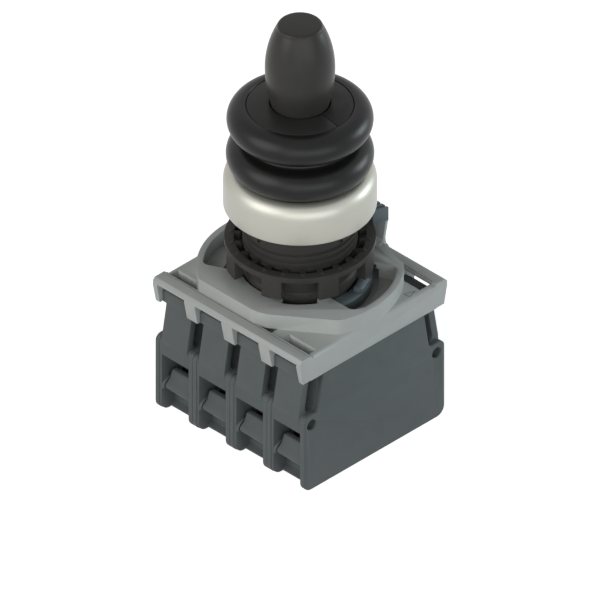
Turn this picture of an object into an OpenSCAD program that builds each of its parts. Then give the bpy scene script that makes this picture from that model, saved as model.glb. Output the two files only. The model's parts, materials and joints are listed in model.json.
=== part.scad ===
/* [Operator] */
// Diameter of the threaded barrel that goes through the panel
barrel_d = 22; // [21:0.1:22.2]
// Depth of the barrel below the panel's front face
barrel_len = 19.5; // [19.5:0.1:19.8]
// Outer diameter of the bezel
bezel_d = 29.34; // [29:0.1:30]
// Height of the bezel above the panel
bezel_h = 8; // [8:0.1:8.4]
// Height of the knob's top above the panel
knob_top = 41.45; // [40:0.05:46]
// Greatest diameter of the knob
knob_d = 13.44; // [12:0.1:14]
// Greatest diameter of the rubber bellows
boot_d = 28.28; // [27:0.1:28.6]
// Height of the tilting centre above the panel
pivot_z = 2.2; // [2.1:0.05:2.3]
// Distance of the four push pins from the axis
pin_ring_r = 4.7; // [4.6:0.05:4.75]

/* [Ring nut] */
// Outer diameter of the crown nut
nut_d = 28.9; // [28:0.1:29]
// Depth of the nut's top face below the panel's front face
nut_top = 7.7; // [7:0.1:7.9]
// Height of the nut
nut_h = 5.3; // [5:0.1:5.6]
// Number of legs of the crown
nut_legs = 8; // [6:1:10]

/* [Mounting adapter] */
// Width of the adapter along the row of blocks
adapter_w = 39.6; // [39.4:0.1:39.8]
// Depth of the plate's top face below the panel's front face
plate_top = 18; // [17.9:0.05:18.1]
// Depth of the round collar's top face below the panel's front face
collar_top = 14.7; // [14.6:0.05:14.9]
// Depth of the adapter's lower edge below the panel's front face
adapter_bottom = 23.3; // [23.3:0.05:23.4]

/* [Contact blocks] */
// Distance between neighbouring contact blocks
block_pitch = 10; // [10:0.05:10.2]
// Width of one contact block
block_w = 9.9; // [9.8:0.05:9.95]
// Length of a contact block, from terminal to terminal
block_len = 37.76; // [37.6:0.02:38]
// Depth of the blocks' lower face below the panel's front face
block_bottom = 48.5; // [48.4:0.05:49]
// Thickness of a block's side cover
cover_t = 1.06; // [1:0.02:1.1]
// Diameter of the joining holes through the row of blocks
link_hole_d = 2.35; // [2:0.05:2.6]

/* [Hidden] */
$fn = 96;

// Small distances that keep neighbouring pieces apart
fit_gap = 0.05;
run_gap = 0.04;
cut = 1;

// Operator body
barrel_r = barrel_d / 2;
bore_r = 9.3;
head_r = 13.25;
head_z = 0.9;
gate_z = 5.8;
gate_t = 0.8;
boot_foot_z = gate_z + gate_t;
lip_z = 7.3;
lip_r = 12.05;
thread_pitch = 1.5;
thread_depth = 0.5;
smooth_len = 4.3;
groove_z = -18.6;
groove_h = 2.5;
groove_r = 10.25;
notch_w = 1;

// Lever
shaft_r = 2.4;
neck_r = 1.95;
hub_r = 3.9;
hub_h = 3;
shaft_top = 35;
shaft_low = -3.05;
shoulder_z = 19.4;
disc_z = 20.4;
knob_base = 21.6;
ring_top = 22.85;
gimbal_r = 7.6;
gimbal_hole_r = 4.9;
gimbal_h = 2.8;
pivot_pin_r = 1;
gate_half = 4;
rocker_top = -1;
rocker_t = 1.4;
rocker_low = rocker_top - rocker_t;
clip_t = 0.4;
foot_r = 0.9;
foot_z = -2.8;
head_top = foot_z - foot_r - 0.03;
pin_r = 1.25;
pin_head_r = 1.75;
spring_seat = -14;
pin_head_h = 1.2;
guide_top = -9.2;

// Mounting adapter
plate_half = 16.9;
collar_half = 16.8;
bar_y = 19.75;
tooth_half = 1.42;
end_tooth = 1.1;
side_r = 1;
groove_y = 17.1;
collar_mouth_r = 11.45;

// Transfer sliders, in a chamber of the adapter above the blocks
slider_t = 1.1;
slider_top = -20.85;
chamber_top = -19.5;
chamber_y = 6.8;
post_half = 0.7;
post_gap = 0.15;
short_post_x = 8.2;
long_post_x = 12;
post_low = -adapter_bottom + 0.1;

// Contact blocks
side_half = block_len / 2;
mid_half = block_w / 2 - cover_t;
rib_t = 0.95;
wall_t = 1.55;
front_step = 0.15;
arm_half = 3.4;
head_half = 3.53;
window_top = -35.25;
works_top = -25.3;
works_floor = -46.5;
shelf_z = -43;
ledge_y = 15.15;
head_y = 18.35;
head_low = -23.1;
plunger_top = slider_top - slider_t - 0.03;
plunger_low = -40.2;
strip_top = -39.2;
strip_t = 0.8;
works_y = 8.2;
contact_y = 5.4;
contact_r = 1.1;
screw_y = 12.1;
screw_r = 1.5;
screw_low = -45.6;
head_t = 2;
link_y = 16.8;
link_z = -33.55;

black = [0.16, 0.16, 0.155];
rubber = [0.12, 0.12, 0.12];
silver = [0.75, 0.745, 0.72];
grey = [0.62, 0.64, 0.63];
lever_grey = [0.33, 0.37, 0.38];
block_grey = [0.33, 0.36, 0.36];
natural = [0.85, 0.84, 0.78];
steel = [0.72, 0.72, 0.73];
brass = [0.78, 0.66, 0.36];

// Points along an arc in steps
function arc(cx, cy, r, from, to, n = 8) =
    [for (i = [0 : n]) let (a = from + (to - from) * i / n) [cx + r * cos(a), cy + r * sin(a)]];
function mirrored(pts) = [for (i = [len(pts) - 1 : -1 : 0]) [-pts[i][0], pts[i][1]]];
function reversed(pts) = [for (i = [len(pts) - 1 : -1 : 0]) pts[i]];
function block_x(i) = (i - 2.5) * block_pitch;

// A tube between two heights
module tube(r_out, r_in, z0, z1) {
    translate([0, 0, z0]) difference() {
        cylinder(r = r_out, h = z1 - z0);
        translate([0, 0, -cut]) cylinder(r = r_in, h = z1 - z0 + 2 * cut);
    }
}

// A flat outline in Y and Z, thickened along X from x0 to x1
module prism_x(x0, x1) {
    translate([x0, 0, 0]) rotate([90, 0, 90]) linear_extrude(x1 - x0) children();
}

// A box given by its two corners
module span(low, high) {
    translate(low) cube(high - low);
}

// A sector of a ring, seen from above, less than half a turn wide
module sector(r_in, r_out, from, to, z0, z1) {
    far = 2 * r_out;
    intersection() {
        tube(r_out, r_in, z0, z1);
        translate([0, 0, z0 - cut]) linear_extrude(z1 - z0 + 2 * cut)
            polygon([[0, 0], for (a = [from, (from + to) / 2, to]) far * [cos(a), sin(a)]]);
    }
}

// A coil spring of round wire, as one swept tube
module coil(r, wire_r, z0, z1, turns, steps = 12, sides = 6) {
    count = turns * steps;
    rise = z1 - z0 - 2 * wire_r;
    points = [
        for (i = [0 : count], k = [0 : sides - 1])
            let (a = 360 * i / steps, b = 360 * k / sides, rr = r + wire_r * cos(b))
            [rr * cos(a), rr * sin(a), z0 + wire_r + rise * i / count + wire_r * sin(b)]
    ];
    walls = [
        for (i = [0 : count - 1], k = [0 : sides - 1])
            let (p = i * sides + k, q = i * sides + (k + 1) % sides)
            [p, p + sides, q + sides, q]
    ];
    ends = [
        [for (k = [0 : sides - 1]) k],
        [for (k = [sides - 1 : -1 : 0]) count * sides + k]
    ];
    polyhedron(points, concat(walls, ends));
}

// Knob: a barrel shape with a blind hole for the lever shaft
knob_r = knob_d / 2;
belly_z = 31.5;
upper_r = 20.5;
lower_r = 30.5;
crown_a = 27.6;
crown_r = 0.8;
crown_z = knob_top - crown_r;
module knob() {
    base_a = asin((knob_base - belly_z) / lower_r);
    edge = knob_r - upper_r + upper_r * cos(crown_a);
    color(black) difference() {
        rotate_extrude() polygon(concat(
            [[0, knob_base]],
            arc(knob_r - lower_r, belly_z, lower_r, base_a, 0, 8),
            arc(knob_r - upper_r, belly_z, upper_r, crown_a / 8, crown_a, 8),
            arc(edge - crown_r * cos(crown_a), crown_z, crown_r, crown_a, 90, 5),
            [[0, knob_top]]
        ));
        translate([0, 0, knob_base - cut]) cylinder(r = shaft_r, h = shaft_top + 0.3 - knob_base + cut);
    }
}

// Lever shaft with its shoulder under the boot and its hub in the gimbal
module lever_shaft() {
    color(steel) difference() {
        union() {
            translate([0, 0, pivot_z]) cylinder(r = shaft_r, h = shaft_top - pivot_z);
            translate([0, 0, shoulder_z]) cylinder(r = 4.6, h = disc_z - shoulder_z);
            translate([0, 0, pivot_z - hub_h / 2]) cylinder(r = hub_r, h = hub_h);
            translate([0, 0, shaft_low]) cylinder(r = neck_r, h = pivot_z - shaft_low);
        }
        translate([-hub_r - cut, 0, pivot_z]) rotate([0, 90, 0])
            cylinder(r = pivot_pin_r + run_gap, h = 2 * (hub_r + cut));
        tube(neck_r + cut, 1.6, rocker_low - clip_t, rocker_low);
    }
}

// Split ring that holds down the boot's top
module boot_retaining_ring() {
    color(black) difference() {
        rotate_extrude() polygon([
            [5.8, knob_base], [10.3, knob_base], [10.3, ring_top - 0.15],
            [10.15, ring_top], [5.95, ring_top], [5.8, ring_top - 0.15]
        ]);
        span([0, -0.12, knob_base - cut], [12, 0.12, ring_top + cut]);
    }
}

// Outline of the bellows at a depth t below its outer face, from the top, where it starts at angle top_a, to the foot
fold_r = boot_d / 2;
function boot_side(t, top_a) = concat(
    arc(10.19, 19.02, 3.83 - t, top_a, 0, 8),
    arc(11.02, 19.02, 3 - t, -8, -62, 5),
    arc(12.55, 15.25, 0.85 + t, 125, 235, 5),
    arc(fold_r - 3.2, 11.4, 3.2 - t, 62, -58, 9)
);
module bellows_boot() {
    wall = 1.1;
    color(rubber) rotate_extrude() polygon(concat(
        [[shaft_r + fit_gap, disc_z + fit_gap], [shaft_r + fit_gap, knob_base - fit_gap],
         [10.35, knob_base - fit_gap], [10.35, ring_top - 0.01]],
        boot_side(0, 86),
        [[11.9, 8.1], [11.9, lip_z - fit_gap], [head_r - 0.1, lip_z - fit_gap],
         [head_r - 0.1, boot_foot_z + fit_gap], [10.6, boot_foot_z + fit_gap], [10.6, 8.1]],
        reversed(boot_side(wall, 55)),
        [[10.6, disc_z + fit_gap]]
    ));
}

// Bezel with a rounded shoulder and a lip over the boot's foot
module bezel() {
    r = bezel_d / 2;
    round_r = 2.45;
    color(silver) rotate_extrude() polygon(concat(
        [[13.35, 0], [r - 0.25, 0], [r, 0.25]],
        arc(r - round_r, bezel_h - round_r, round_r, 0, 90, 8),
        [[lip_r + 0.15, bezel_h], [lip_r, bezel_h - 0.15], [lip_r, lip_z], [13.35, lip_z]]
    ));
}

// Plate over the gimbal, whose square opening stops the lever
module gate_plate() {
    corner = 2;
    color(natural) difference() {
        translate([0, 0, gate_z]) cylinder(r = head_r, h = gate_t);
        for (s = [-1, 1], t = [-1, 1])
            translate([s * (gate_half - corner), t * (gate_half - corner), gate_z - cut])
                cylinder(r = corner, h = gate_t + 2 * cut);
        span([-gate_half, -gate_half + corner, gate_z - cut], [gate_half, gate_half - corner, gate_z + gate_t + cut]);
        span([-gate_half + corner, -gate_half, gate_z - cut], [gate_half - corner, gate_half, gate_z + gate_t + cut]);
    }
}

// Operator body: head, smooth neck, thread and bayonet groove
module operator_body() {
    thread_start = -smooth_len - 0.3;
    thread_count = 7;
    color(black) difference() {
        union() {
            translate([0, 0, head_z]) cylinder(r = head_r, h = gate_z - head_z);
            translate([0, 0, -barrel_len]) cylinder(r = barrel_r, h = barrel_len + head_z);
        }
        translate([0, 0, -barrel_len - cut]) cylinder(r = bore_r, h = barrel_len + gate_z + 2 * cut);
        for (i = [0 : thread_count - 1]) rotate_extrude() polygon([
            [barrel_r + cut, thread_start - i * thread_pitch + 0.3 + cut],
            [barrel_r - thread_depth, thread_start - i * thread_pitch],
            [barrel_r - thread_depth, thread_start - i * thread_pitch - 0.2],
            [barrel_r + cut, thread_start - i * thread_pitch - 0.5 - cut]
        ]);
        tube(barrel_r + cut, groove_r, groove_z, groove_z + groove_h);
        for (a = [0 : 90 : 270]) rotate(a)
            span([barrel_r - 0.6, -notch_w / 2, -smooth_len - 0.2], [barrel_r + cut, notch_w / 2, -smooth_len + 1]);
        for (a = [120, 300]) rotate(a)
            span([groove_r, -2, -barrel_len - cut], [barrel_r + cut, 2, groove_z + cut]);
        for (a = [90, 270]) rotate(a) translate([bore_r - cut, 0, pivot_z]) rotate([0, 90, 0])
            cylinder(r = pivot_pin_r, h = head_r - bore_r + 2 * cut);
    }
}

module panel_gasket() {
    color(rubber) tube(13.2, barrel_r + 0.1, 0, head_z);
}

// Crown nut: a sleeve inside a band with square legs and small teeth
module ring_nut() {
    r = nut_d / 2;
    leg_a = 16.2;
    tooth_count = 24;
    tooth_a = 5;
    sleeve_r = 12.45;
    nut_low = -nut_top - nut_h;
    band_low = -nut_top - 1.2;
    sleeve_low = nut_low + 0.4;
    color(black) difference() {
        tube(r, barrel_r + fit_gap, nut_low, -nut_top);
        difference() {
            tube(r + cut, sleeve_r, nut_low - cut, band_low);
            for (i = [0 : nut_legs - 1]) let (a = (i + 0.5) * 360 / nut_legs)
                sector(sleeve_r - 1, r + 2 * cut, a - leg_a / 2, a + leg_a / 2, nut_low - 2 * cut, band_low + cut);
        }
        tube(sleeve_r + 0.05, barrel_r - cut, nut_low - cut, sleeve_low);
        difference() {
            tube(sleeve_r, barrel_r - cut, band_low + 0.2, -nut_top + cut);
            for (i = [0 : tooth_count - 1]) let (a = i * 360 / tooth_count)
                sector(11.45, sleeve_r + cut, a - tooth_a / 2, a + tooth_a / 2, band_low - cut, -nut_top - 0.2);
        }
    }
}

// Gimbal ring, carried on two pins along Y
module gimbal_ring() {
    color(steel) difference() {
        tube(gimbal_r, gimbal_hole_r, pivot_z - gimbal_h / 2, pivot_z + gimbal_h / 2);
        translate([0, gimbal_r + cut, pivot_z]) rotate([90, 0, 0])
            cylinder(r = pivot_pin_r + run_gap, h = 2 * (gimbal_r + cut));
        translate([-gimbal_r - cut, 0, pivot_z]) rotate([0, 90, 0])
            cylinder(r = pivot_pin_r, h = 2 * (gimbal_r + cut));
    }
}

module gimbal_pins() {
    color(steel) for (a = [90, 270]) rotate(a) translate([5.2, 0, pivot_z]) rotate([0, 90, 0])
        cylinder(r = pivot_pin_r, h = 7.9);
}

module lever_pin() {
    color(steel) translate([-7.3, 0, pivot_z]) rotate([0, 90, 0]) cylinder(r = pivot_pin_r, h = 14.6);
}

// Rocker: a cross with four domed feet that press the push pins
module rocker() {
    color(natural) difference() {
        union() {
            translate([0, 0, rocker_low]) cylinder(r = 3, h = rocker_t);
            for (a = [0 : 90 : 270]) rotate(a) {
                span([0, -0.7, rocker_low], [pin_ring_r, 0.7, rocker_top]);
                translate([pin_ring_r, 0, foot_z]) rotate_extrude($fn = 48) polygon(concat(
                    arc(0, 0, foot_r, -90, 0, 4),
                    [[foot_r, rocker_top - foot_z], [0, rocker_top - foot_z]]
                ));
            }
        }
        translate([0, 0, rocker_low - cut]) cylinder(r = neck_r, h = rocker_t + 2 * cut);
    }
}

module rocker_clip() {
    color(steel) difference() {
        tube(2.15, 1.65, rocker_low - clip_t, rocker_low);
        span([0, -0.8, rocker_low - cut], [3, 0.8, rocker_top]);
    }
}

module centring_spring() {
    color(steel) coil(2.5, 0.3, spring_seat, rocker_low - fit_gap, 6);
}

// Guide that closes the barrel, leads the four push pins and carries the short sliders' posts
module pin_guide() {
    color(natural) difference() {
        union() {
            translate([0, 0, -barrel_len]) cylinder(r = bore_r - 0.02, h = barrel_len + guide_top);
            for (s = [-1, 1]) slider_post(s * short_post_x, 0);
        }
        translate([0, 0, spring_seat]) cylinder(r = 2.9, h = -spring_seat);
        for (a = [0 : 90 : 270]) rotate(a) translate([pin_ring_r, 0, -barrel_len - cut])
            cylinder(r = pin_r + run_gap, h = barrel_len + cut);
    }
}

module push_pin(direction) {
    color(natural) rotate(direction) translate([pin_ring_r, 0, 0]) {
        translate([0, 0, head_top - pin_head_h]) cylinder(r = pin_head_r, h = pin_head_h);
        translate([0, 0, slider_top]) cylinder(r = pin_r, h = head_top - slider_top - pin_head_h / 2);
    }
}

// Outline of the collar seen from above: a round with two flats, a diagonal front and a hollow back corner
module collar_outline() {
    intersection() {
        circle(r = adapter_w / 2 - fit_gap);
        polygon(concat(
            [[-22, -collar_half]],
            arc(3.13, 8 - collar_half, 8, -90, -53.6, 6),
            arc(14.97, -5.04, 4, -53.6, -32, 3),
            [[19.3, -5.1], [20.5, 0], [22, 14.05], [16, 14.05], [11.5, 14.7], [9.7, 15.3], [6.7, collar_half],
             [-22, collar_half]]
        ));
    }
}

// One kidney window of the collar, seen from above
module kidney() {
    polygon(concat(
        [[9, -3.5]],
        arc(16.4, -2, 1.5, -90, -10, 4),
        arc(0, 0, 18.5, -3, 37, 9),
        arc(13.02, 10.93, 1.5, 45, 112, 5),
        [[9.35, 10.8], [5, 9.5]]
    ));
}

// Cross-section of one edge bar of the adapter, in Y and Z
module bar_outline() {
    polygon([[plate_half - 0.2, -18.7], [plate_half - 0.2, -17.6], [bar_y - 0.55, -17.6], [bar_y, -18.15], [bar_y, -18.7]]);
}

// Tooth that hangs from an edge bar, and its root in the plate
module edge_tooth(x0, x1) {
    prism_x(x0, x1) tooth_outline();
    span([x0, 16, post_low], [x1, 18, -plate_top - 0.1]);
}

module tooth_outline() {
    polygon([[17, -18.5], [bar_y, -18.5], [bar_y, -19.2], [bar_y - 0.8, post_low], [17, post_low]]);
}

// Mounting adapter: plate, edge bars with teeth, collar, kidneys and lever post
module mounting_adapter() {
    half = adapter_w / 2;
    hole_r = barrel_r + 0.15;
    color(grey) difference() {
        union() {
            difference() {
                span([-half, -plate_half, -adapter_bottom], [half, plate_half, -plate_top]);
                for (s = [0, 1]) mirror([s, 0, 0]) side_round();
            }
            translate([0, 0, -plate_top - side_r - 0.1]) linear_extrude(plate_top + side_r + 0.1 - collar_top)
                collar_outline();
            for (s = [0, 1]) mirror([0, s, 0]) {
                prism_x(-half, half) bar_outline();
                for (x = [-block_pitch, 0, block_pitch]) edge_tooth(x - tooth_half, x + tooth_half);
                for (x = [-half, half - end_tooth]) edge_tooth(x, x + end_tooth);
            }
            lever_post();
        }
        translate([0, 0, -adapter_bottom - cut]) cylinder(r = hole_r, h = adapter_bottom);
        sector(10, 13, -61.6, -28.4, -17.6, -10);
        translate([0, 0, -collar_top - 1.2]) cylinder(r = collar_mouth_r, h = 1.2 + cut);
        tube(15, 10, groove_z - 0.1, -16.1);
        sector(14.55, 15.65, 67, 119, groove_z - 0.1, -collar_top + cut);
        for (a = [0, 180]) rotate(a) {
            translate([0, 0, -plate_top]) linear_extrude(10) kidney();
            sector(11, 14.5, 10, 58, -16.2, -15.2);
        }
        for (s = [0, 1]) mirror([0, s, 0])
            span([end_tooth - half, collar_half, -plate_top - 0.3], [half - end_tooth, groove_y, -plate_top + cut]);
        span([-18.5, -chamber_y, -adapter_bottom - cut], [18.5, chamber_y, chamber_top]);
        for (i = [1 : 4], s = [0, 1]) mirror([0, s, 0]) arm_slot(block_x(i));
    }
    color(grey) for (s = [-1, 1]) slider_post(s * long_post_x, -s * pin_ring_r);
}

// Rounding of the plate's upper edge at its +X side
module side_round() {
    x = adapter_w / 2 - side_r;
    z = -plate_top - side_r;
    translate([0, collar_half, 0]) rotate([90, 0, 0]) linear_extrude(2 * collar_half) polygon(concat(
        arc(x, z, side_r, 90, 0, 6),
        [[x + 2 * side_r, z], [x + 2 * side_r, z + 2 * side_r], [x, z + 2 * side_r]]
    ));
}

// Upstand beside which the locking lever stands, rising out of the collar's edge, with a hollow at its foot
module lever_post() {
    low = -collar_top - 0.5;
    post_t = 0.65;
    translate([0, collar_half, 0]) rotate([90, 0, 0]) linear_extrude(post_t) polygon([
        [-2, low], [-2, -8.85], [6.95, -8.85], [6.65, -10.6], [6.2, -13.2], [6.2, -13.9], [6.35, -14.5],
        [6.6, -collar_top - 0.02], [6.6, low]
    ]);
    prism_x(-2, 6.1) polygon(concat(
        [[collar_half - 0.4, low], [collar_half - 0.4, -13.5]],
        arc(collar_half - post_t - 1.2, -13.5, 1.2, 0, -84, 5),
        [[collar_half - post_t - 1.1, low]]
    ));
}

// Pocket that takes the latch arm of one block, with a ledge for its hook
module arm_slot(x) {
    span([x - 3.6, 15.4, -adapter_bottom - cut], [x + 3.6, 17, -plate_top + 0.001]);
    prism_x(x - 3.6, x + 3.6) polygon(concat(
        arc(13.24, -plate_top - 1, 1, 90, 0, 5),
        [[14.24, -20.4], [plate_half, -20.4], [plate_half, 0.1 - plate_top], [13.24, 0.1 - plate_top]]
    ));
}

// Square post on which a slider moves up and down
module slider_post(x, y) {
    span([x - post_half, y - post_half, post_low], [x + post_half, y + post_half, chamber_top + 0.1]);
}

// Locking lever: a ring with two inner cams, an upright arm and a thumb tab
module locking_lever() {
    ring_low = groove_z + 0.1;
    ring_high = -16.3;
    lug_high = -15.3;
    tab_low = -8.7;
    tab_high = -5.6;
    ring_r = 14.2;
    arm_r = 14.75;
    arm_t = 0.75;
    color(lever_grey) {
        difference() {
            tube(ring_r, groove_r + 0.15, ring_low, lug_high);
            difference() {
                tube(barrel_r + 0.2, groove_r - cut, ring_low - cut, lug_high + cut);
                for (a = [0, 180])
                    sector(groove_r - 2, barrel_r + cut, a - 9, a + 9, ring_low - 2 * cut, ring_high);
            }
            difference() {
                tube(ring_r + cut, barrel_r - cut, ring_high, lug_high + cut);
                for (a = [22, 202]) rotate(a) span([11.9, -1.9, ring_high - cut], [14.1, 1.9, lug_high + 2 * cut]);
            }
        }
        sector(ring_r - 0.2, arm_r + arm_t, 68, 90, ring_low, ring_high);
        sector(arm_r, arm_r + arm_t, 68, 90, ring_high - 0.1, tab_low + 0.1);
        difference() {
            sector(arm_r, 18.3, 65.5, 93, tab_low, tab_high);
            span([-3, 16.35, tab_low - cut], [9, 20, tab_high + cut]);
            for (a = [67.5 : 4 : 92]) rotate(a) span([14, -0.2, tab_high - 0.3], [19, 0.2, tab_high + cut]);
        }
    }
}

// Sliders that carry the push pins' strokes to the plungers of the blocks
module short_slider() {
    color(natural) difference() {
        span([2.9, -2, slider_top - slider_t], [9.8, 2, slider_top]);
        slider_hole(short_post_x, 0);
    }
}

module long_slider() {
    color(natural) difference() {
        union() {
            span([-1.8, -6.4, slider_top - slider_t], [17.2, -3, slider_top]);
            span([12.8, -6.4, slider_top - slider_t], [17.2, 2, slider_top]);
        }
        slider_hole(long_post_x, -pin_ring_r);
    }
}

module slider_hole(x, y) {
    half = post_half + post_gap;
    span([x - half, y - half, slider_top - slider_t - cut], [x + half, y + half, slider_top + cut]);
}

// Half outline of a block's wall above and round its shoulder, in Y and Z
function shoulder(front) = concat(
    [[0, -adapter_bottom], [13.5, -adapter_bottom], [14.7, -30.5]],
    arc(15.6, -30.45, 0.9, 190, 270, 4),
    arc(front - 1.25, -32.6, 1.25, 90, 0, 6)
);
function side_half_outline(front) = concat(
    shoulder(front),
    arc(front - 2, -block_bottom + 2, 2, 0, -90, 6),
    [[0, -block_bottom]]
);

// Half outline of the part between the side walls
function middle_half_outline() = concat(
    shoulder(side_half - front_step),
    [[side_half - front_step, window_top], [16, window_top], [16, window_top - 0.8], [9.7, window_top - 0.8],
     [9.7, shelf_z], [ledge_y, shelf_z], [ledge_y, -47.5], [16.45, -47.9], [16.5, -48.15], [15.9, -block_bottom],
     [0, -block_bottom]]
);

// Latch arm with its hook inside and its thumb rest outside, in Y and Z
module arm_outline() {
    polygon([
        [16.4, -31.6], [17.2, -32.5], [side_half - 0.1, -32.5], [side_half - 0.15, -31], [17.6, -24.5],
        [17.4, head_low], [head_y, head_low], [head_y, -20.75], [head_y - 0.2, -20.55], [16.95, -20.55],
        [16.75, -19.3], [14.9, -19.6], [14.9, -20.3], [15.55, -20.35], [15.75, -22], [16.2, -25],
        [17.1, -30.2], [17, -30.9], [16.6, -31.3]
    ]);
}

module thumb_rest() {
    polygon([[17.05, head_low], [head_y, head_low], [head_y, -20.75], [head_y - 0.2, -20.55], [17.05, -20.55]]);
}

// Guard in front of a terminal, which leads the wire in over its top, in Y and Z
module guard_outline() {
    polygon(concat(
        [[ledge_y - 0.1, -44.4], [ledge_y - 0.1, -40.1], [15.6, -39.4]],
        arc(16.55, -39.7, 0.45, 90, 25, 3),
        [[17.5, -41]],
        arc(17.9, -42.2, 0.75, 40, -25, 4),
        [[18.3, -43], [17.4, -43.1]]
    ));
}

// Rounded cheek beside the guard
module cheek_outline() {
    intersection() {
        translate([16.8, shelf_z]) circle(r = 2.05);
        translate([ledge_y - 0.1, shelf_z - 0.05]) square([5, 4]);
    }
}

// Housing of a contact block: one side wall and everything between the walls
module block_housing(i) {
    left = -block_w / 2;
    inner = left + wall_t;
    color(block_grey) translate([block_x(i), 0, 0]) difference() {
        union() {
            prism_x(left, left + rib_t) side_outline(side_half);
            prism_x(left + rib_t / 2, inner) side_outline(side_half - front_step);
            prism_x(inner - 0.1, mid_half) difference() {
                polygon(concat(middle_half_outline(), mirrored(middle_half_outline())));
                works_outline();
            }
            for (s = [0, 1]) mirror([0, s, 0]) {
                prism_x(-arm_half, arm_half) arm_outline();
                prism_x(-head_half, head_half) thumb_rest();
                prism_x(inner + 0.95, mid_half) guard_outline();
                prism_x(inner - 0.1, inner + 0.55) cheek_outline();
            }
        }
        span([-2, -2, works_top - cut], [2, 2, -adapter_bottom + cut]);
        for (s = [-1, 1]) {
            translate([0, s * screw_y, -block_bottom - cut]) cylinder(r = 2.45, h = 7);
            link_hole(s);
            span([-2.1, min(s * 7, s * 12), strip_top - strip_t - 0.05], [2.1, max(s * 7, s * 12), strip_top + 0.05]);
        }
    }
}

module side_outline(front) {
    polygon(concat(side_half_outline(front), mirrored(side_half_outline(front))));
}

// Hollow that holds the plunger and its spring
module works_outline() {
    translate([-works_y, works_floor]) square([2 * works_y, works_top - works_floor]);
}

module link_hole(side) {
    translate([-block_w, side * link_y, link_z]) rotate([0, 90, 0]) cylinder(d = link_hole_d, h = 2 * block_w);
}

// Side cover of a contact block
module block_cover(i) {
    color(block_grey) translate([block_x(i), 0, 0]) difference() {
        prism_x(mid_half, block_w / 2) side_outline(side_half);
        for (s = [-1, 1]) link_hole(s);
    }
}

// Plunger with a window that carries the moving contact bridge
module block_plunger(i) {
    color(natural) translate([block_x(i), 0, 0]) difference() {
        union() {
            span([-1.95, -1.95, -32], [1.95, 1.95, plunger_top]);
            span([-3, -3.1, -39.6], [3, 3.1, -31]);
            translate([0, 0, plunger_low]) cylinder(r = 2.4, h = 1);
        }
        span([-1.6, -4, -37], [1.6, 4, -33.2]);
    }
}

module block_bridge(i) {
    color(brass) translate([block_x(i), 0, 0]) {
        span([-1.5, -6.6, -37], [1.5, 6.6, -36.4]);
        for (s = [-1, 1]) translate([0, s * contact_y, -37.5]) cylinder(r = contact_r, h = 0.6);
    }
}

module block_spring(i) {
    color(steel) translate([block_x(i), 0, 0]) coil(1.9, 0.25, works_floor, plunger_low, 4, 10);
}

// Two fixed contact strips, each with a contact button
module block_contacts(i) {
    color(brass) translate([block_x(i), 0, 0]) for (s = [0, 1]) mirror([0, s, 0]) {
        span([-2, 4.2, strip_top - strip_t], [2, 14.2, strip_top]);
        translate([0, contact_y, strip_top - 0.1]) cylinder(r = contact_r, h = 0.5);
    }
}

// Cage clamps: each screw draws one down and nips the wire on its strip
module terminal_clamps() {
    color(steel) for (i = [1 : 4], s = [0, 1]) mirror([0, s, 0]) translate([block_x(i), 0, 0]) difference() {
        span([-3.2, 9.85, -42.95], [3.2, 14.4, -36.4]);
        span([-2.2, 9, -41.6], [2.2, 16, -37.3]);
        translate([0, screw_y, shelf_z - cut]) cylinder(r = screw_r + 0.02, h = 3);
    }
}

module terminal_screws() {
    color(steel) for (i = [1 : 4], s = [-1, 1]) translate([block_x(i), s * screw_y, 0]) difference() {
        union() {
            translate([0, 0, screw_low]) cylinder(r = screw_r, h = strip_top - strip_t - fit_gap - screw_low);
            translate([0, 0, screw_low]) cylinder(r = 2.3, h = head_t);
        }
        span([-0.35, -3, screw_low - cut], [0.35, 3, screw_low + 0.9]);
        span([-1.6, -0.35, screw_low - cut], [1.6, 0.35, screw_low + 0.9]);
    }
}

knob();
lever_shaft();
boot_retaining_ring();
bellows_boot();
bezel();
gate_plate();
operator_body();
panel_gasket();
ring_nut();
gimbal_ring();
gimbal_pins();
lever_pin();
rocker();
rocker_clip();
centring_spring();
pin_guide();
push_pin(0);  // push_pin_east
push_pin(90);  // push_pin_north
push_pin(180);  // push_pin_west
push_pin(270);  // push_pin_south
mounting_adapter();
locking_lever();
short_slider();  // slider_east
rotate(180) long_slider();  // slider_north
rotate(180) short_slider();  // slider_west
long_slider();  // slider_south
for (i = [1 : 4]) {
    block_housing(i);
    block_cover(i);
    block_plunger(i);
    block_bridge(i);
    block_spring(i);
    block_contacts(i);
}
terminal_clamps();
terminal_screws();
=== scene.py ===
"""Looks of the industrial joystick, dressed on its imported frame. Lengths are in mm, angles in degrees."""
import itertools
import json
import math

import bmesh
import bpy
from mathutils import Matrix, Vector


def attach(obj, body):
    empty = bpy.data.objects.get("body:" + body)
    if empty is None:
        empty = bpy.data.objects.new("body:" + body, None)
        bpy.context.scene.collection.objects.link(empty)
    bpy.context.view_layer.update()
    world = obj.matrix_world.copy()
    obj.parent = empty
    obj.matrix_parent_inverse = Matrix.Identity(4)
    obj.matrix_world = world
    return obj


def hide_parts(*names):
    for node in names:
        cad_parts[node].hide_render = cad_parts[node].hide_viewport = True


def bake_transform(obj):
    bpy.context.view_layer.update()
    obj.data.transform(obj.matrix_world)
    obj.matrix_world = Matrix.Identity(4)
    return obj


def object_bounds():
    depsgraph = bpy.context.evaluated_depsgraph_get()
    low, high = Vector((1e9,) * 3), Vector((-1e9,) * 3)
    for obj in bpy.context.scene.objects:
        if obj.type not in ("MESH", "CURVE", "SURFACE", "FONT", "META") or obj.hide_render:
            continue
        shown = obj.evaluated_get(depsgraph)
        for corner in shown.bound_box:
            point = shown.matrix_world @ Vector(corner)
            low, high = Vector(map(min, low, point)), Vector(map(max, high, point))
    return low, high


MM = 0.001
BLOCKS = range(1, 5)
BLOCK_PITCH = 10
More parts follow.
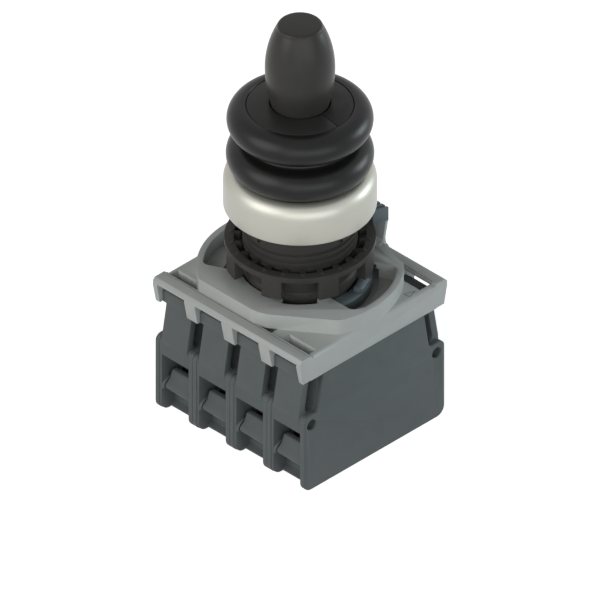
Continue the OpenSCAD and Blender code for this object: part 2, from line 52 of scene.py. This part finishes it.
PLATE_TOP = -18
EDGE_ANGLE = 38
SMOOTH_ANGLE = 35
FLAT_ANGLE = 0.4
CAD_WELD = 0.002
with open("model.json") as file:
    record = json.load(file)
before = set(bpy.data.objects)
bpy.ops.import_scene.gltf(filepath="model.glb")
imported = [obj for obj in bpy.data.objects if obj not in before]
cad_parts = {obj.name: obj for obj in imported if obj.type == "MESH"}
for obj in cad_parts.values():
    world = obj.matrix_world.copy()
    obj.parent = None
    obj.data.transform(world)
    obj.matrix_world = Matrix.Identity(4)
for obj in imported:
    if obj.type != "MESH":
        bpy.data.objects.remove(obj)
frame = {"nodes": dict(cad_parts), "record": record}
cad_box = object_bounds()
scene = bpy.context.scene


# Materials

NOISE_LOW = 0.3
NOISE_HIGH = 0.7
GLOSS_SPREAD = 0.05
BUMP_STRENGTH = 0.5

# Sockets of a mix node that mixes colours
COLOUR_A = 6
COLOUR_B = 7
COLOUR_OUT = 2


def new_nodes(name):
    mat = bpy.data.materials.new(name)
    mat.use_nodes = True
    return mat, mat.node_tree, mat.node_tree.nodes["Principled BSDF"]


def noise(nt, vector, scale, detail=3.0):
    node = nt.nodes.new("ShaderNodeTexNoise")
    node.inputs["Scale"].default_value = scale
    node.inputs["Detail"].default_value = detail
    nt.links.new(vector, node.inputs["Vector"])
    return node.outputs["Fac"]


def spread(nt, factor, low, high):
    """Stretches the range that noise mostly keeps to over low to high."""
    node = nt.nodes.new("ShaderNodeMapRange")
    node.inputs["From Min"].default_value = NOISE_LOW
    node.inputs["From Max"].default_value = NOISE_HIGH
    node.inputs["To Min"].default_value = low
    node.inputs["To Max"].default_value = high
    nt.links.new(factor, node.inputs["Value"])
    return node.outputs["Result"]


def around(nt, position):
    """Radius and height as a vector, for marks that run round the Z axis."""
    split = nt.nodes.new("ShaderNodeSeparateXYZ")
    nt.links.new(position, split.inputs[0])
    flat = nt.nodes.new("ShaderNodeCombineXYZ")
    nt.links.new(split.outputs["X"], flat.inputs["X"])
    nt.links.new(split.outputs["Y"], flat.inputs["Y"])
    length = nt.nodes.new("ShaderNodeVectorMath")
    length.operation = "LENGTH"
    nt.links.new(flat.outputs[0], length.inputs[0])
    out = nt.nodes.new("ShaderNodeCombineXYZ")
    nt.links.new(length.outputs["Value"], out.inputs["X"])
    nt.links.new(split.outputs["Z"], out.inputs["Z"])
    return out.outputs[0]


def finish_of(name, colour, rough, metal=0.0, specular=0.5, mottle=0.05, patch=4.0, grain=0.16, depth=0.004,
              lathed=False):
    """Procedural finish: soft patches of colour, and a fine grain in gloss and surface."""
    mat, nt, bsdf = new_nodes(name)
    position = nt.nodes.new("ShaderNodeTexCoord").outputs["Object"]
    patches = noise(nt, position, 1 / (patch * MM))
    mix = nt.nodes.new("ShaderNodeMix")
    mix.data_type = "RGBA"
    mix.inputs[COLOUR_A].default_value = [*(c * (1 - mottle) for c in colour), 1]
    mix.inputs[COLOUR_B].default_value = [*(c * (1 + mottle) for c in colour), 1]
    nt.links.new(spread(nt, patches, 0, 1), mix.inputs[0])
    nt.links.new(mix.outputs[COLOUR_OUT], bsdf.inputs["Base Color"])
    fine_at = around(nt, position) if lathed else position
    fine = noise(nt, fine_at, 1 / (grain * MM), 2.0)
    nt.links.new(spread(nt, fine, rough - GLOSS_SPREAD, rough + GLOSS_SPREAD), bsdf.inputs["Roughness"])
    bump = nt.nodes.new("ShaderNodeBump")
    bump.inputs["Strength"].default_value = BUMP_STRENGTH
    bump.inputs["Distance"].default_value = depth * MM
    nt.links.new(fine, bump.inputs["Height"])
    nt.links.new(bump.outputs["Normal"], bsdf.inputs["Normal"])
    bsdf.inputs["Metallic"].default_value = metal
    bsdf.inputs["Specular IOR Level"].default_value = specular
    return mat


LOOKS = {
    "black_plastic": finish_of("moulded black", (0.043, 0.041, 0.0375), 0.42, specular=0.08, grain=0.12),
    "glossy_black_plastic": finish_of("polished black", (0.032, 0.0305, 0.0275), 0.34, specular=0.17,
                                      grain=0.1, depth=0.002),
    "deep_black_plastic": finish_of("moulded deep black", (0.026, 0.0255, 0.0245), 0.38, specular=0.12,
                                    grain=0.12),
    "black_rubber": finish_of("soft rubber", (0.007, 0.007, 0.0065), 0.34, specular=0.22, mottle=0.12,
                              patch=3.0, grain=0.1),
    "satin_metal": finish_of("satin metal", (0.46, 0.449, 0.395), 0.42, metal=0.6, mottle=0.015, grain=0.09,
                             depth=0.0015, lathed=True),
    "light_grey_plastic": finish_of("moulded light grey", (0.365, 0.378, 0.362), 0.42, specular=0.3,
                                    mottle=0.02, grain=0.14),
    "slate_plastic": finish_of("moulded slate", (0.12, 0.145, 0.155), 0.45, specular=0.3, mottle=0.03,
                               grain=0.14),
    "dark_grey_plastic": finish_of("moulded dark grey", (0.096, 0.107, 0.106), 0.5, specular=0.12,
                                   mottle=0.04, grain=0.12),
    "natural_plastic": finish_of("natural moulded", (0.62, 0.6, 0.52), 0.42, mottle=0.03),
    "steel": finish_of("zinc plated steel", (0.55, 0.55, 0.56), 0.32, metal=1.0, mottle=0.06, patch=1.5),
    "dull_steel": finish_of("dull steel", (0.1, 0.1, 0.1), 0.4, metal=0.9, mottle=0.06, patch=1.5),
    "brass": finish_of("brass", (0.6, 0.46, 0.2), 0.3, metal=1.0, mottle=0.05, patch=1.5),
}
SLOT_OF = {s["node"]: s["material_slot"] for s in frame["record"]["subparts"]}


def paint(obj, look):
    obj.data.materials.clear()
    obj.data.materials.append(LOOKS[look])


for node, obj in frame["nodes"].items():
    paint(obj, SLOT_OF[node])


# Making pieces

def mesh_of(bm, name):
    """The mesh of a worked shape, which is freed."""
    mesh = bpy.data.meshes.new(name)
    bm.to_mesh(mesh)
    bm.free()
    return mesh


def piece(name, mesh, slot, body=None):
    """A new piece; body is left out where it is given later."""
    obj = bpy.data.objects.new(name, mesh)
    scene.collection.objects.link(obj)
    paint(obj, slot)
    if body:
        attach(obj, body)
    return obj


def smooth(mesh):
    mesh.shade_smooth()
    mesh.set_sharp_from_angle(angle=math.radians(SMOOTH_ANGLE))


def body_of(node):
    return next(b for b, nodes in frame["record"]["behaviour"]["bodies"].items() if node in nodes)


def rounded(obj, width, limit="ANGLE"):
    """Rounds the piece's sharp edges."""
    bevel = obj.modifiers.new("edges", "BEVEL")
    bevel.limit_method = limit
    bevel.angle_limit = math.radians(EDGE_ANGLE)
    bevel.width = width * MM
    bevel.segments = 2
    bevel.use_clamp_overlap = True
    look = obj.data.materials[0]
    obj.data = bpy.data.meshes.new_from_object(obj.evaluated_get(bpy.context.evaluated_depsgraph_get()))
    obj.modifiers.clear()
    smooth(obj.data)
    obj.data.materials.clear()
    obj.data.materials.append(look)


def moulded(node, width, outside=None, shift=None):
    """Stands for a rigid CAD node: the same solid, with its sharp edges rounded as a mould leaves them.

    Edges beyond the X of outside are rounded four times as wide as the rest. The function shift moves
    single vertices a little."""
    bm = bmesh.new()
    bm.from_mesh(frame["nodes"][node].data)
    bmesh.ops.remove_doubles(bm, verts=bm.verts, dist=CAD_WELD * MM)
    bmesh.ops.dissolve_limit(bm, angle_limit=math.radians(FLAT_ANGLE), verts=bm.verts, edges=bm.edges)
    weight = bm.edges.layers.float.new("bevel_weight_edge")
    for e in bm.edges:
        if e.is_manifold and e.calc_face_angle() > math.radians(EDGE_ANGLE):
            e[weight] = 1 if outside is None or all(v.co.x > outside * MM for v in e.verts) else 0.25
    obj = piece(node + "_moulded", mesh_of(bm, node + "_moulded"), SLOT_OF[node])
    rounded(obj, width, "WEIGHT")
    if shift:
        for v in obj.data.vertices:
            shift(v)
    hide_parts(node)
    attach(obj, body_of(node))
    return obj


def walls(bm, low, high):
    """Faces all round between two rings of as many corners."""
    for k in range(len(low)):
        following = (k + 1) % len(low)
        bm.faces.new((low[k], low[following], high[following], high[k]))


def turned(name, outline, steps=128):
    """A solid of revolution about Z from its closed outline of (radius, height)."""
    bm = bmesh.new()
    rings = []
    for i in range(steps):
        a = math.tau * i / steps
        rings.append([bm.verts.new((r * math.cos(a) * MM, r * math.sin(a) * MM, z * MM)) for r, z in outline])
    for ring, following in zip(rings, rings[1:] + rings[:1]):
        walls(bm, ring, following)
    bmesh.ops.recalc_face_normals(bm, faces=bm.faces)
    mesh = mesh_of(bm, name)
    smooth(mesh)
    return mesh


def arc(cx, cz, r, start, end, n):
    """The points of a round stretch in n parts, from its middle, radius and end angles."""
    step = (end - start) / n
    angles = [math.radians(start + i * step) for i in range(n + 1)]
    return [(cx + r * math.cos(a), cz + r * math.sin(a)) for a in angles]


# Bellows, in two pieces: two folds with a neck between them
WALL = 1.1
UPPER_Z = 19.58
UPPER_OUT = 14.02
UPPER_TOP_R = 3.27
UPPER_LOW_R = 3
NECK = (11.2, 15.74)
NECK_R = 0.86
LOWER_Z = 11.6
LOWER_OUT = 14.14
LOWER_R = 3.24

# Disc over the folds that the ring lies on, and foot under them that the bezel holds
DISC_HOLE_R = 2.45
DISC_LOW = 20.45
DISC_TOP = 21.55
RIM_R = 10.35
RIM_TOP = 22.75
FOOT_IN = 10.3
FOOT_OUT = 13.15
FOOT_LOW = 6.65
FOOT_TOP = 7.25
FOOT_NECK = 8.4


def upper_side(t, top):
    """The upper fold's side from the angle top down into the neck, t inside its outer face."""
    return (arc(UPPER_OUT - UPPER_TOP_R, UPPER_Z, UPPER_TOP_R - t, top, 0, 16)
            + arc(UPPER_OUT - UPPER_LOW_R, UPPER_Z, UPPER_LOW_R - t, -6, -84, 14)
            + arc(*NECK, NECK_R + t, 97, 180, 8))


def lower_side(t):
    """The lower fold's side from the neck down, t inside its outer face."""
    return (arc(*NECK, NECK_R + t, 180, 262, 8)
            + arc(LOWER_OUT - LOWER_R, LOWER_Z, LOWER_R - t, 82, -62, 24))


disc = [(DISC_HOLE_R, DISC_LOW), (DISC_HOLE_R, DISC_TOP), (RIM_R, DISC_TOP), (RIM_R, RIM_TOP), (10.42, 22.84)]
foot = [(FOOT_IN + WALL, FOOT_NECK), (FOOT_IN + WALL, FOOT_TOP), (FOOT_OUT, FOOT_TOP), (FOOT_OUT, FOOT_LOW),
        (FOOT_IN, FOOT_LOW), (FOOT_IN, FOOT_NECK)]
upper = disc + upper_side(0, 86) + upper_side(WALL, 60)[::-1] + [(10.6, DISC_LOW)]
lower = lower_side(0) + foot + lower_side(WALL)[::-1]
boot_top = piece("bellows_upper_fold", turned("bellows_upper_fold", upper), "black_rubber")
boot_low = piece("bellows_lower_fold", turned("bellows_lower_fold", lower), "black_rubber")
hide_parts("bellows_boot")
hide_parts("bellows_boot")
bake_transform(boot_low)
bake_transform(boot_top)

# Bezel, whose shoulder is a quarter of an ellipse that ends in a thin lip round the boot
BEZEL_R = 14.67
BEZEL_HOLE_R = 13.35
SHOULDER_Z = 5.5
SHOULDER_WIDE = 2.32
SHOULDER_HIGH = 2.75
LIP_R = 11.45
LIP_LOW = 7.3
shoulder = [(BEZEL_R + (x - 1) * SHOULDER_WIDE, SHOULDER_Z + z * SHOULDER_HIGH)
            for x, z in arc(0, 0, 1, 0, 84, 20)]
lip = [(12.2, 8.25), (11.85, 8.2), (11.6, 8.08), (LIP_R, 7.85), (LIP_R, LIP_LOW), (BEZEL_HOLE_R, LIP_LOW)]
bezel_side = [(BEZEL_HOLE_R, 0), (14.3, 0), (14.55, 0.1), (BEZEL_R, 0.35), (BEZEL_R, 5.2)] + shoulder + lip
bezel = piece("bezel_turned", turned("bezel_turned", bezel_side, steps=192), "satin_metal", "root")
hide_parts("bezel")

# Rigid nodes with moulded edges
RING_R = 10.3
RING_FACE = 22.3
RING_SLOPE = 0.16
RING_SINK = 0.06
POCKET_FRONT = -14.25
POCKET_BACK = -13.2
POCKET_EDGE = 0.95
LEVER_RING_R = 14.2
LEVER_RING_SLIM_R = 13.85
LEVER_RING_TOP = -15.2
NEAR = 0.05
COVER_FACE = 4.9


def coned(vertex):
    """The ring over the boot starts flush with it and rises towards the knob."""
    r = math.hypot(vertex.co.x, vertex.co.y) / MM
    if vertex.co.z > RING_FACE * MM:
        vertex.co.z += (RING_SLOPE * (RING_R - r) - RING_SINK) * MM


def sharp_pockets(vertex):
    """The adapter's front pockets for the latch hooks have a sharp inner edge."""
    at_edge = POCKET_FRONT * MM < vertex.co.y < POCKET_BACK * MM
    if at_edge and (PLATE_TOP - POCKET_EDGE) * MM < vertex.co.z < PLATE_TOP * MM:
        vertex.co.z = PLATE_TOP * MM


def slimmer(vertex):
    """The lever's ring stands clear of the adapter's groove."""
    r = math.hypot(vertex.co.x, vertex.co.y)
    if abs(r - LEVER_RING_R * MM) < NEAR * MM and vertex.co.z < LEVER_RING_TOP * MM:
        vertex.co.x *= LEVER_RING_SLIM_R * MM / r
        vertex.co.y *= LEVER_RING_SLIM_R * MM / r


moulded("mounting_adapter", 0.15, shift=sharp_pockets)

# Pieces whose look departs from their slot's
for node, width, shift, look in (
    ("knob", 0.5, None, "glossy_black_plastic"),
    ("boot_retaining_ring", 0.06, coned, "deep_black_plastic"),
    ("terminal_clamps", 0.1, None, "dull_steel"),
):
    paint(moulded(node, width, shift=shift), look)

moulded("terminal_screws", 0.08)
moulded("locking_lever", 0.14, shift=slimmer)
for i in BLOCKS:
    moulded(f"block_{i}_housing", 0.14)
    moulded(f"block_{i}_cover", 0.48, outside=(i - 2.5) * BLOCK_PITCH + COVER_FACE)

# Triangular mark on the adapter's plate, of three bars sunk a little into it; their dark slate colour is
# painted shade, standing for the shadow lines along the mark's edges
MARK = [(17.4, 10.5), (18.2, 12.8), (18.8, 10.7)]
MARK_HALF = 0.06
MARK_SINK = 0.05
MARK_RISE = 0.03


def add_bar(bm, a, b):
    """A flat bar between two of the mark's corners."""
    across = Vector((b[1] - a[1], a[0] - b[0])).normalized() * MARK_HALF
    feet = [(x + side * across.x, y + side * across.y) for (x, y), side in ((a, 1), (b, 1), (b, -1), (a, -1))]
    low, high = ([bm.verts.new((x * MM, y * MM, z * MM)) for x, y in feet]
                 for z in (PLATE_TOP - MARK_SINK, PLATE_TOP + MARK_RISE))
    bm.faces.new(low[::-1])
    bm.faces.new(high)
    walls(bm, low, high)


bm = bmesh.new()
for a, b in zip(MARK, MARK[1:] + MARK[:1]):
    add_bar(bm, a, b)
bmesh.ops.recalc_face_normals(bm, faces=bm.faces)
# The mark's slate colour is painted shade: dark lines where the shadow of its edges falls
mark = piece("plate_mark_painted_shade", mesh_of(bm, "plate_mark_painted_shade"), "slate_plastic", "root")
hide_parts("mounting_adapter")

# Crown nut: band, legs, sleeve, and a groove bridged by teeth, each with a pad above it on the band
NUT_R = 14.45
BAND_R = 12.6
BAND_LOW = -8.9
BAND_TOP = -7.7
LEG_LOW = -12.95
LEG_HALF = 8.1
LEGS = [22.5 + 45 * i for i in range(8)]
SLEEVE_R = 11.08
SLEEVE_LOW = -12.5
SLEEVE_TOP = -9.4
TOOTH_R = 11.35
TOOTH_LOW = -9.9
TOOTH_TOP = -7.8
TOOTH_HALF = 2.4
TEETH = [-42.5 + 360 * i / 22 for i in range(22)]
PAD_IN = 12.9
PAD_OUT = 13.45
PAD_TOP = -7.55
PAD_HALF = 1.5

# Sides of a grid's cell: the way to the neighbour there, and the side's corners
CELL_SIDES = [
    ((-1, 0, 0), [(0, 0, 0), (0, 0, 1), (0, 1, 1), (0, 1, 0)]),
    ((1, 0, 0), [(1, 0, 0), (1, 1, 0), (1, 1, 1), (1, 0, 1)]),
    ((0, -1, 0), [(0, 0, 0), (1, 0, 0), (1, 0, 1), (0, 0, 1)]),
    ((0, 1, 0), [(0, 1, 0), (0, 1, 1), (1, 1, 1), (1, 1, 0)]),
    ((0, 0, -1), [(0, 0, 0), (0, 1, 0), (1, 1, 0), (1, 0, 0)]),
    ((0, 0, 1), [(0, 0, 1), (1, 0, 1), (1, 1, 1), (0, 1, 1)]),
]


def near(angle, middles, half):
    return any(abs((angle - m + 180) % 360 - 180) < half for m in middles)


def nut_filled(r, a, z):
    """Whether the nut is there, at a radius, an angle and a height inside its grid."""
    if r < TOOTH_R:
        return SLEEVE_LOW < z < SLEEVE_TOP
    if r < BAND_R:
        return TOOTH_LOW < z < TOOTH_TOP and near(a, TEETH, TOOTH_HALF)
    if z > BAND_TOP:
        return PAD_IN < r < PAD_OUT and near(a, TEETH, PAD_HALF)
    return z > BAND_LOW or near(a, LEGS, LEG_HALF)


def polar_solid(name, radii, heights, angles, filled, step=2.6):
    """The solid made of those cells of a grid round the Z axis whose middle is filled.

    The grid is cut at the angles and at least every step degrees between them."""
    cuts = sorted({round(a % 360, 3) for a in angles})
    turns = []
    for a, b in zip(cuts, cuts[1:] + [cuts[0] + 360]):
        count = max(1, math.ceil((b - a) / step))
        turns += [a + (b - a) * i / count for i in range(count)]
    round_trip = len(turns)
    turns.append(turns[0] + 360)
    bm = bmesh.new()
    corners = {}

    def corner(i, j, k):
        key = (i, j % round_trip, k)
        if key not in corners:
            a = math.radians(turns[key[1]])
            at = (radii[i] * math.cos(a) * MM, radii[i] * math.sin(a) * MM, heights[k] * MM)
            corners[key] = bm.verts.new(at)
        return corners[key]

    def middle(values, n):
        return (values[n] + values[n + 1]) / 2

    def solid(i, j, k):
        if not (0 <= i < len(radii) - 1 and 0 <= k < len(heights) - 1):
            return False
        return filled(middle(radii, i), middle(turns, j % round_trip), middle(heights, k))

    for cell in itertools.product(range(len(radii) - 1), range(round_trip), range(len(heights) - 1)):
        if not solid(*cell):
            continue
        for way, side in CELL_SIDES:
            if not solid(*map(sum, zip(cell, way))):
                bm.faces.new([corner(*map(sum, zip(cell, c))) for c in side])
    bmesh.ops.dissolve_limit(bm, angle_limit=math.radians(FLAT_ANGLE), verts=bm.verts, edges=bm.edges)
    return mesh_of(bm, name)


nut_radii = [SLEEVE_R, TOOTH_R, BAND_R, PAD_IN, PAD_OUT, NUT_R]
nut_heights = [LEG_LOW, SLEEVE_LOW, TOOTH_LOW, SLEEVE_TOP, BAND_LOW, TOOTH_TOP, BAND_TOP, PAD_TOP]
nut_angles = ([m + h for m in LEGS for h in (-LEG_HALF, LEG_HALF)]
              + [m + h for m in TEETH for h in (-TOOTH_HALF, -PAD_HALF, PAD_HALF, TOOTH_HALF)])
nut_mesh = polar_solid("ring_nut_crown", nut_radii, nut_heights, nut_angles, nut_filled)
nut = piece("ring_nut_crown", nut_mesh, "black_plastic", "root")
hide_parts("ring_nut")
rounded(nut, 0.1)

# Barrel with a helical thread, where the CAD has plain grooves
CORE_R = 10.45
CREST_R = 11
CREST_HALF = 0.2
FADED_R = 10.4
ROOT_R = 10.25
ROOT_HALF = 0.5
PITCH = 1.5
THREAD_TOP = -4.3
THREAD_LOW = -14.1
FADE_TURNS = 0.1


def to_core(vertex):
    """Draws the barrel in to its thread's core, on which the ridge stands."""
    r = math.hypot(vertex.co.x, vertex.co.y)
    if r > CORE_R * MM and THREAD_LOW * MM < vertex.co.z < THREAD_TOP * MM:
        vertex.co.x *= CORE_R * MM / r
        vertex.co.y *= CORE_R * MM / r


def helical_ridge(name, first_z, turns, start_deg, steps=96):
    """A thread's ridge that winds up from first_z, fading in and out at its ends."""
    bm = bmesh.new()
    rings = []
    for i in range(int(turns * steps) + 1):
        turn = i / steps
        crest = FADED_R + (CREST_R - FADED_R) * min(1, turn / FADE_TURNS, (turns - turn) / FADE_TURNS)
        a = math.radians(start_deg) + turn * math.tau
        z = first_z + turn * PITCH
        ring = [(ROOT_R, z - ROOT_HALF), (crest, z - CREST_HALF),
                (crest, z + CREST_HALF), (ROOT_R, z + ROOT_HALF)]
        rings.append([bm.verts.new((r * math.cos(a) * MM, r * math.sin(a) * MM, h * MM)) for r, h in ring])
    for low, high in zip(rings, rings[1:]):
        walls(bm, low, high)
    bm.faces.new(rings[0][::-1])
    bm.faces.new(rings[-1])
    bmesh.ops.recalc_face_normals(bm, faces=bm.faces)
    mesh = mesh_of(bm, name)
    smooth(mesh)
    return mesh


moulded("operator_body", 0.06, shift=to_core)
ridge = helical_ridge("barrel_thread", first_z=-13.65, turns=5.9, start_deg=135)
thread = piece("barrel_thread", ridge, "black_plastic", "root")
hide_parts("operator_body")

# Plunger springs, each a copy of its CAD node
for i in BLOCKS:
    node = f"block_{i}_spring"
    spring = piece(node + "_live", frame["nodes"][node].data.copy(), "steel")
    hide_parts(node)
    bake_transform(spring)

# Camera and lamps, all aimed at the object's middle
AIM = Vector((0, 0, -22.8 * MM))
CAMERA_AWAY = 500
VIEW_WIDTH = 114.05
COOL = (0.84, 0.95, 1.0)


def aimed(name, data, direction, distance):
    obj = bpy.data.objects.new(name, data)
    way = Vector(direction).normalized()
    obj.location = AIM + way * (distance * MM)
    obj.rotation_euler = way.to_track_quat("Z", "Y").to_euler()
    scene.collection.objects.link(obj)
    return obj


def softbox(name, direction, distance, size, power, colour=(1, 1, 1)):
    lamp = bpy.data.lights.new(name, "AREA")
    lamp.shape = "DISK"
    lamp.size = size * MM
    lamp.energy = power
    lamp.color = colour
    aimed(name, lamp, direction, distance)


# The photograph's straight view, from azimuth 45 and elevation 35.26
lens = bpy.data.cameras.new("camera")
lens.type = "ORTHO"
lens.ortho_scale = VIEW_WIDTH * MM
scene.camera = aimed("camera", lens, (1, -1, 1), CAMERA_AWAY)

softbox("front", (-0.2, -0.88, 0.48), 700, 600, 2.8)
softbox("middle", (0.6, -0.72, 0.3), 800, 600, 1.5)
softbox("side", (0.92, -0.2, 0.2), 800, 600, 1.95, COOL)
softbox("rim", (0.47, 0.86, 0.22), 800, 350, 2.7, COOL)

# Background and floor, white where they are seen or mirrored and dim as lights
WHITE = (1, 1, 1, 1)
BACKGROUND_DIM = 0.1
FLOOR_GLOW = 0.84
FLOOR_HALF = 2000
FLOOR_GAP = 0.02


def seen_or_mirrored(nt, otherwise, level):
    """The level for rays that see it straight, mirrored or through glass, and otherwise for the rest."""
    path = nt.nodes.new("ShaderNodeLightPath")
    out = path.outputs["Is Camera Ray"]
    for kind in ("Is Glossy Ray", "Is Transmission Ray"):
        either = nt.nodes.new("ShaderNodeMath")
        either.operation = "MAXIMUM"
        nt.links.new(out, either.inputs[0])
        nt.links.new(path.outputs[kind], either.inputs[1])
        out = either.outputs[0]
    choice = nt.nodes.new("ShaderNodeMapRange")
    choice.inputs["To Min"].default_value = otherwise
    choice.inputs["To Max"].default_value = level
    nt.links.new(out, choice.inputs["Value"])
    return choice.outputs["Result"]


world = bpy.data.worlds.new("studio")
scene.world = world
world.use_nodes = True
backdrop = world.node_tree.nodes["Background"]
backdrop.inputs["Color"].default_value = WHITE
brightness = seen_or_mirrored(world.node_tree, BACKGROUND_DIM, 1.0)
world.node_tree.links.new(brightness, backdrop.inputs["Strength"])

bm = bmesh.new()
bmesh.ops.create_grid(bm, x_segments=1, y_segments=1, size=FLOOR_HALF * MM)
floor = bpy.data.objects.new("floor", mesh_of(bm, "floor"))
floor.location = (0, 0, cad_box[0][2] - FLOOR_GAP * MM)
scene.collection.objects.link(floor)
mat, nt, bsdf = new_nodes("pale floor")
bsdf.inputs["Base Color"].default_value = (0.6, 0.6, 0.6, 1)
bsdf.inputs["Roughness"].default_value = 0.9
bsdf.inputs["Specular IOR Level"].default_value = 0.0
bsdf.inputs["Emission Color"].default_value = WHITE
nt.links.new(seen_or_mirrored(nt, 0.0, FLOOR_GLOW), bsdf.inputs["Emission Strength"])
floor.data.materials.append(mat)

scene.view_settings.view_transform = "Standard"
